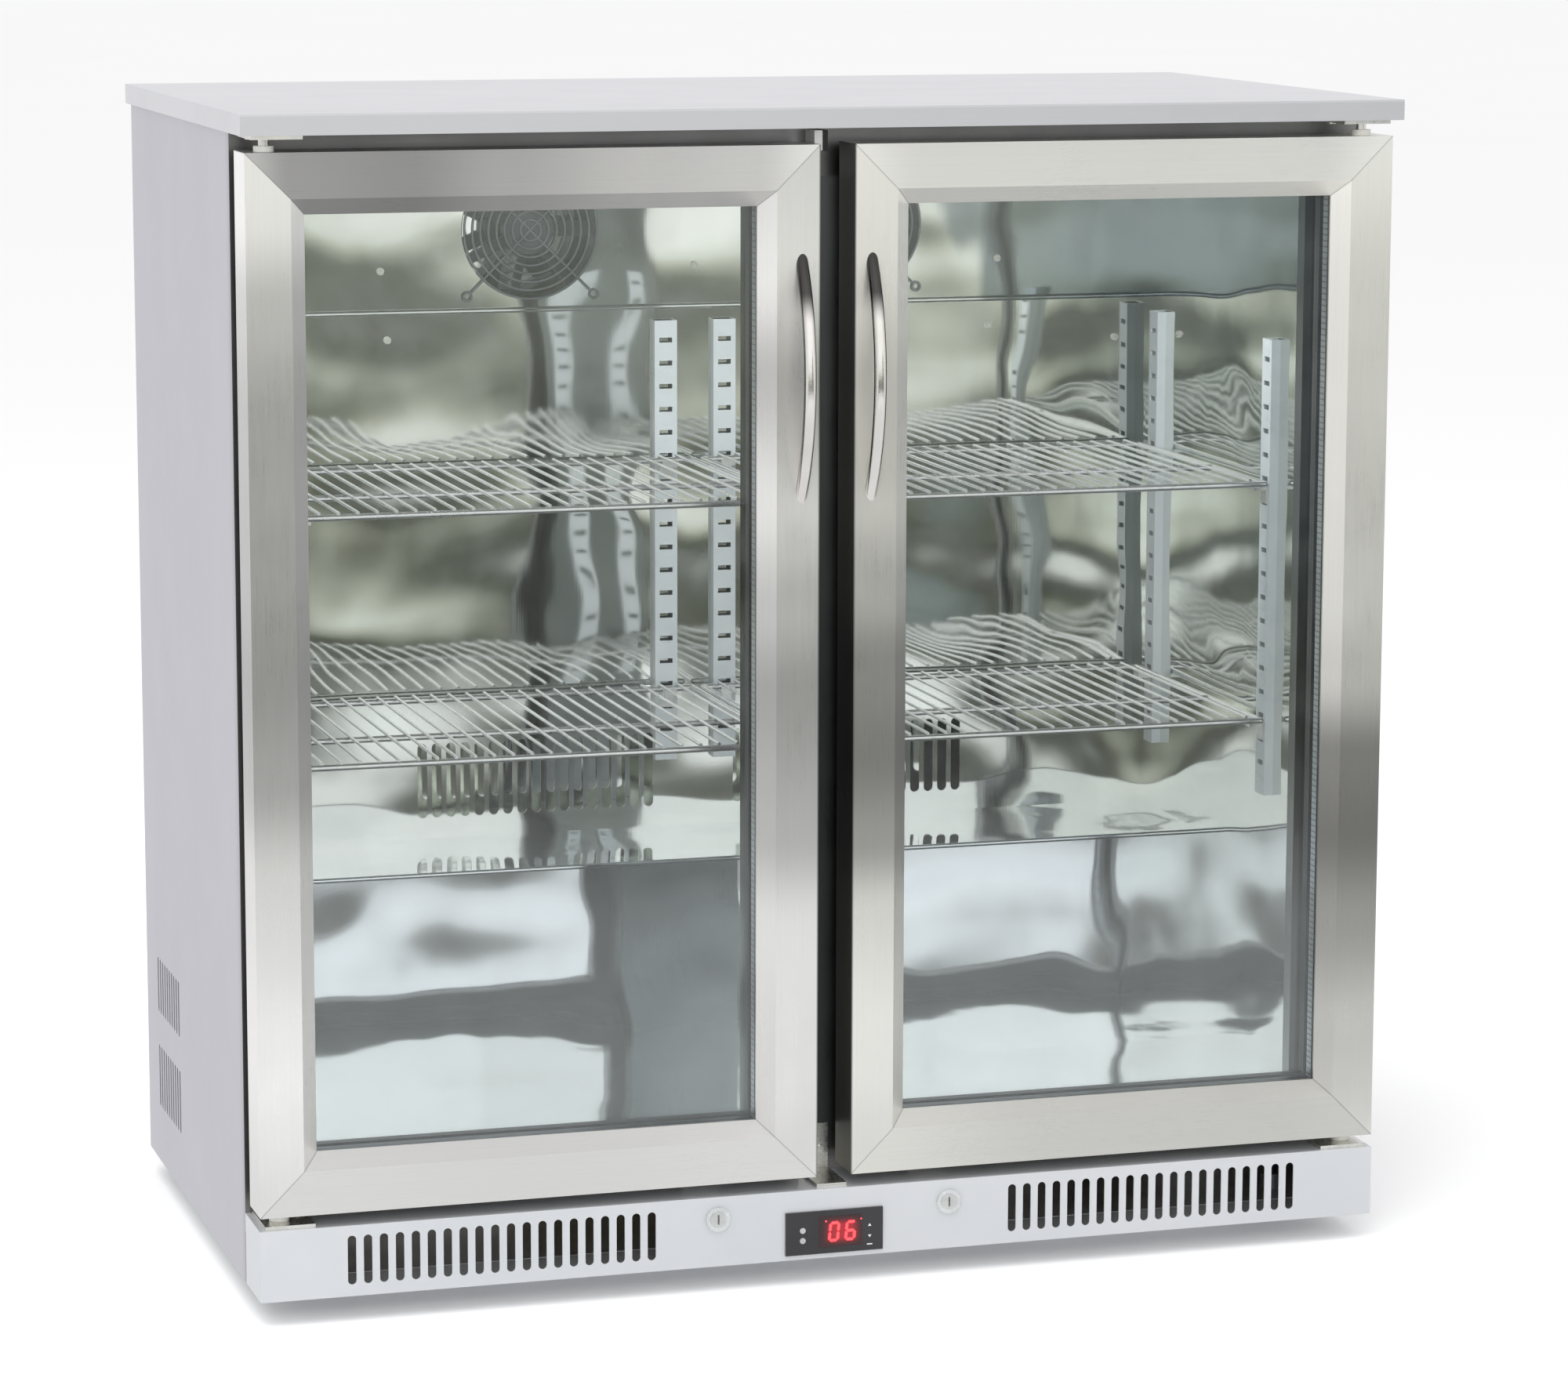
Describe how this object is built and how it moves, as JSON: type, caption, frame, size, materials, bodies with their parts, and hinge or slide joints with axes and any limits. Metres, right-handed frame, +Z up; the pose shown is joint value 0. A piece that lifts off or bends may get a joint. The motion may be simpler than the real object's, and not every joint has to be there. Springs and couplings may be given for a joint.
{
  "type": "under counter fridge",
  "caption": "Glass-door under-counter bottle cooler with hinged framed doors, wire shelves on slotted uprights, fan evaporator and a grille plinth with controller and cam locks.",
  "frame": {"origin": "centre of the footprint (overall box) on the floor plane the feet stand on", "axes": "+Z up, doors face -Y, +X to the viewer's right when facing the doors"},
  "size_m": [0.9, 0.509, 0.9],
  "materials": {
    "brushed_stainless": "satin",
    "side_panel_silver": "satin",
    "plinth_grey": "satin",
    "polished_liner": "polished",
    "galvanised": "satin",
    "foam": "matte",
    "fan_plastic": "matte",
    "chrome_wire": "polished",
    "pilaster_white": "satin",
    "fins": "satin",
    "compressor_black": "gloss",
    "rubber_dark": "matte",
    "copper": "satin",
    "tray_grey": "matte",
    "cord_black": "matte",
    "zinc_steel": "satin",
    "lock_chrome": "satin",
    "controller_black": "gloss",
    "window_red": "gloss",
    "button_pale": "satin",
    "foot_black": "matte",
    "door_plastic": "satin",
    "clear_glass": "polished",
    "spacer_bar": "satin",
    "handle_nickel": "satin",
    "bush_nylon": "satin"
  },
  "bodies": {
    "cabinet": {"worktop": "brushed_stainless", "front_frame": "brushed_stainless", "centre_mullion": "brushed_stainless", "side_panel_left": "side_panel_silver", "side_panel_right": "side_panel_silver", "front_grille": "plinth_grey", "liner_panels": "polished_liner", "compressor_step": "polished_liner", "liner_back": "polished_liner", "evaporator_cover": "polished_liner", "rear_panel": "galvanised", "rear_grille": "galvanised", "base_pan": "galvanised", "insulation_foam": "foam", "evaporator_fan_frames": "fan_plastic", "condenser_fan_frame": "fan_plastic", "fan_guards": "chrome_wire", "shelf_clips": "chrome_wire", "shelf_pilasters": "pilaster_white", "evaporator_coil": "fins", "condenser_coil": "fins", "compressor": "compressor_black", "compressor_grommets": "rubber_dark", "refrigerant_pipes": "copper", "condensate_tray": "tray_grey", "power_cord": "cord_black", "hinge_brackets": "zinc_steel", "cabinet_screws": "zinc_steel", "lock_housings": "lock_chrome", "controller_housing": "controller_black", "display_window": "window_red"},
    "door_left": {"door_frame_left": "brushed_stainless", "door_core_left": "door_plastic", "door_glass_left": "clear_glass", "glass_spacer_left": "spacer_bar", "door_gasket_left": "rubber_dark", "door_handle_left": "handle_nickel", "pivot_bushes_left": "bush_nylon"},
    "door_right": {"door_frame_right": "brushed_stainless", "door_core_right": "door_plastic", "door_glass_right": "clear_glass", "glass_spacer_right": "spacer_bar", "door_gasket_right": "rubber_dark", "door_handle_right": "handle_nickel", "pivot_bushes_right": "bush_nylon"},
    "evaporator_fan_left": {"evaporator_fan_left": "fan_plastic"},
    "evaporator_fan_right": {"evaporator_fan_right": "fan_plastic"},
    "condenser_fan": {"condenser_fan": "fan_plastic"},
    "shelf_upper_left": {"shelf_upper_left": "chrome_wire"},
    "shelf_upper_right": {"shelf_upper_right": "chrome_wire"},
    "shelf_lower_left": {"shelf_lower_left": "chrome_wire"},
    "shelf_lower_right": {"shelf_lower_right": "chrome_wire"},
    "lock_plug_left": {"lock_plug_left": "lock_chrome"},
    "lock_plug_right": {"lock_plug_right": "lock_chrome"},
    "button_up": {"button_up": "button_pale"},
    "button_down": {"button_down": "button_pale"},
    "foot_front_left": {"foot_front_left": "foot_black"},
    "foot_front_right": {"foot_front_right": "foot_black"},
    "foot_rear_left": {"foot_rear_left": "foot_black"},
    "foot_rear_right": {"foot_rear_right": "foot_black"}
  },
  "joints": [
    {"name": "door_left_hinge", "type": "hinge", "parent": "cabinet", "child": "door_left", "pos_m": [-0.4275, -0.204, 0.478], "axis": [0, 0, -1], "range_deg": [0, 105]},
    {"name": "door_right_hinge", "type": "hinge", "parent": "cabinet", "child": "door_right", "pos_m": [0.4275, -0.204, 0.478], "axis": [0, 0, 1], "range_deg": [0, 105]},
    {"name": "evaporator_fan_left_spin", "type": "hinge", "parent": "cabinet", "child": "evaporator_fan_left", "pos_m": [-0.138, 0.178, 0.783], "axis": [0, 1, 0], "continuous": true},
    {"name": "evaporator_fan_right_spin", "type": "hinge", "parent": "cabinet", "child": "evaporator_fan_right", "pos_m": [0.138, 0.178, 0.783], "axis": [0, 1, 0], "continuous": true},
    {"name": "condenser_fan_spin", "type": "hinge", "parent": "cabinet", "child": "condenser_fan", "pos_m": [-0.368, 0.157, 0.118], "axis": [1, 0, 0], "continuous": true},
    {"name": "lock_left_turn", "type": "hinge", "parent": "cabinet", "child": "lock_plug_left", "pos_m": [-0.0927, -0.2, 0.0573], "axis": [0, -1, 0], "range_deg": [0, 90]},
    {"name": "lock_right_turn", "type": "hinge", "parent": "cabinet", "child": "lock_plug_right", "pos_m": [0.0927, -0.2, 0.0573], "axis": [0, 1, 0], "range_deg": [0, 90]},
    {"name": "shelf_upper_left_lift", "type": "slide", "parent": "cabinet", "child": "shelf_upper_left", "axis": [0, 0, 1], "range_m": [0, 0.03]},
    {"name": "shelf_upper_right_lift", "type": "slide", "parent": "cabinet", "child": "shelf_upper_right", "axis": [0, 0, 1], "range_m": [0, 0.03]},
    {"name": "shelf_lower_left_lift", "type": "slide", "parent": "cabinet", "child": "shelf_lower_left", "axis": [0, 0, 1], "range_m": [0, 0.03]},
    {"name": "shelf_lower_right_lift", "type": "slide", "parent": "cabinet", "child": "shelf_lower_right", "axis": [0, 0, 1], "range_m": [0, 0.03]},
    {"name": "button_up_press", "type": "slide", "parent": "cabinet", "child": "button_up", "axis": [0, 1, 0], "range_m": [0, 0.0006], "stiffness_N_per_m": 800},
    {"name": "button_down_press", "type": "slide", "parent": "cabinet", "child": "button_down", "axis": [0, 1, 0], "range_m": [0, 0.0006], "stiffness_N_per_m": 800},
    {"name": "foot_front_left_screw", "type": "slide", "parent": "cabinet", "child": "foot_front_left", "axis": [0, 0, -1], "range_m": [0, 0.012]},
    {"name": "foot_front_right_screw", "type": "slide", "parent": "cabinet", "child": "foot_front_right", "axis": [0, 0, -1], "range_m": [0, 0.012]},
    {"name": "foot_rear_left_screw", "type": "slide", "parent": "cabinet", "child": "foot_rear_left", "axis": [0, 0, -1], "range_m": [0, 0.012]},
    {"name": "foot_rear_right_screw", "type": "slide", "parent": "cabinet", "child": "foot_rear_right", "axis": [0, 0, -1], "range_m": [0, 0.012]}
  ]
}
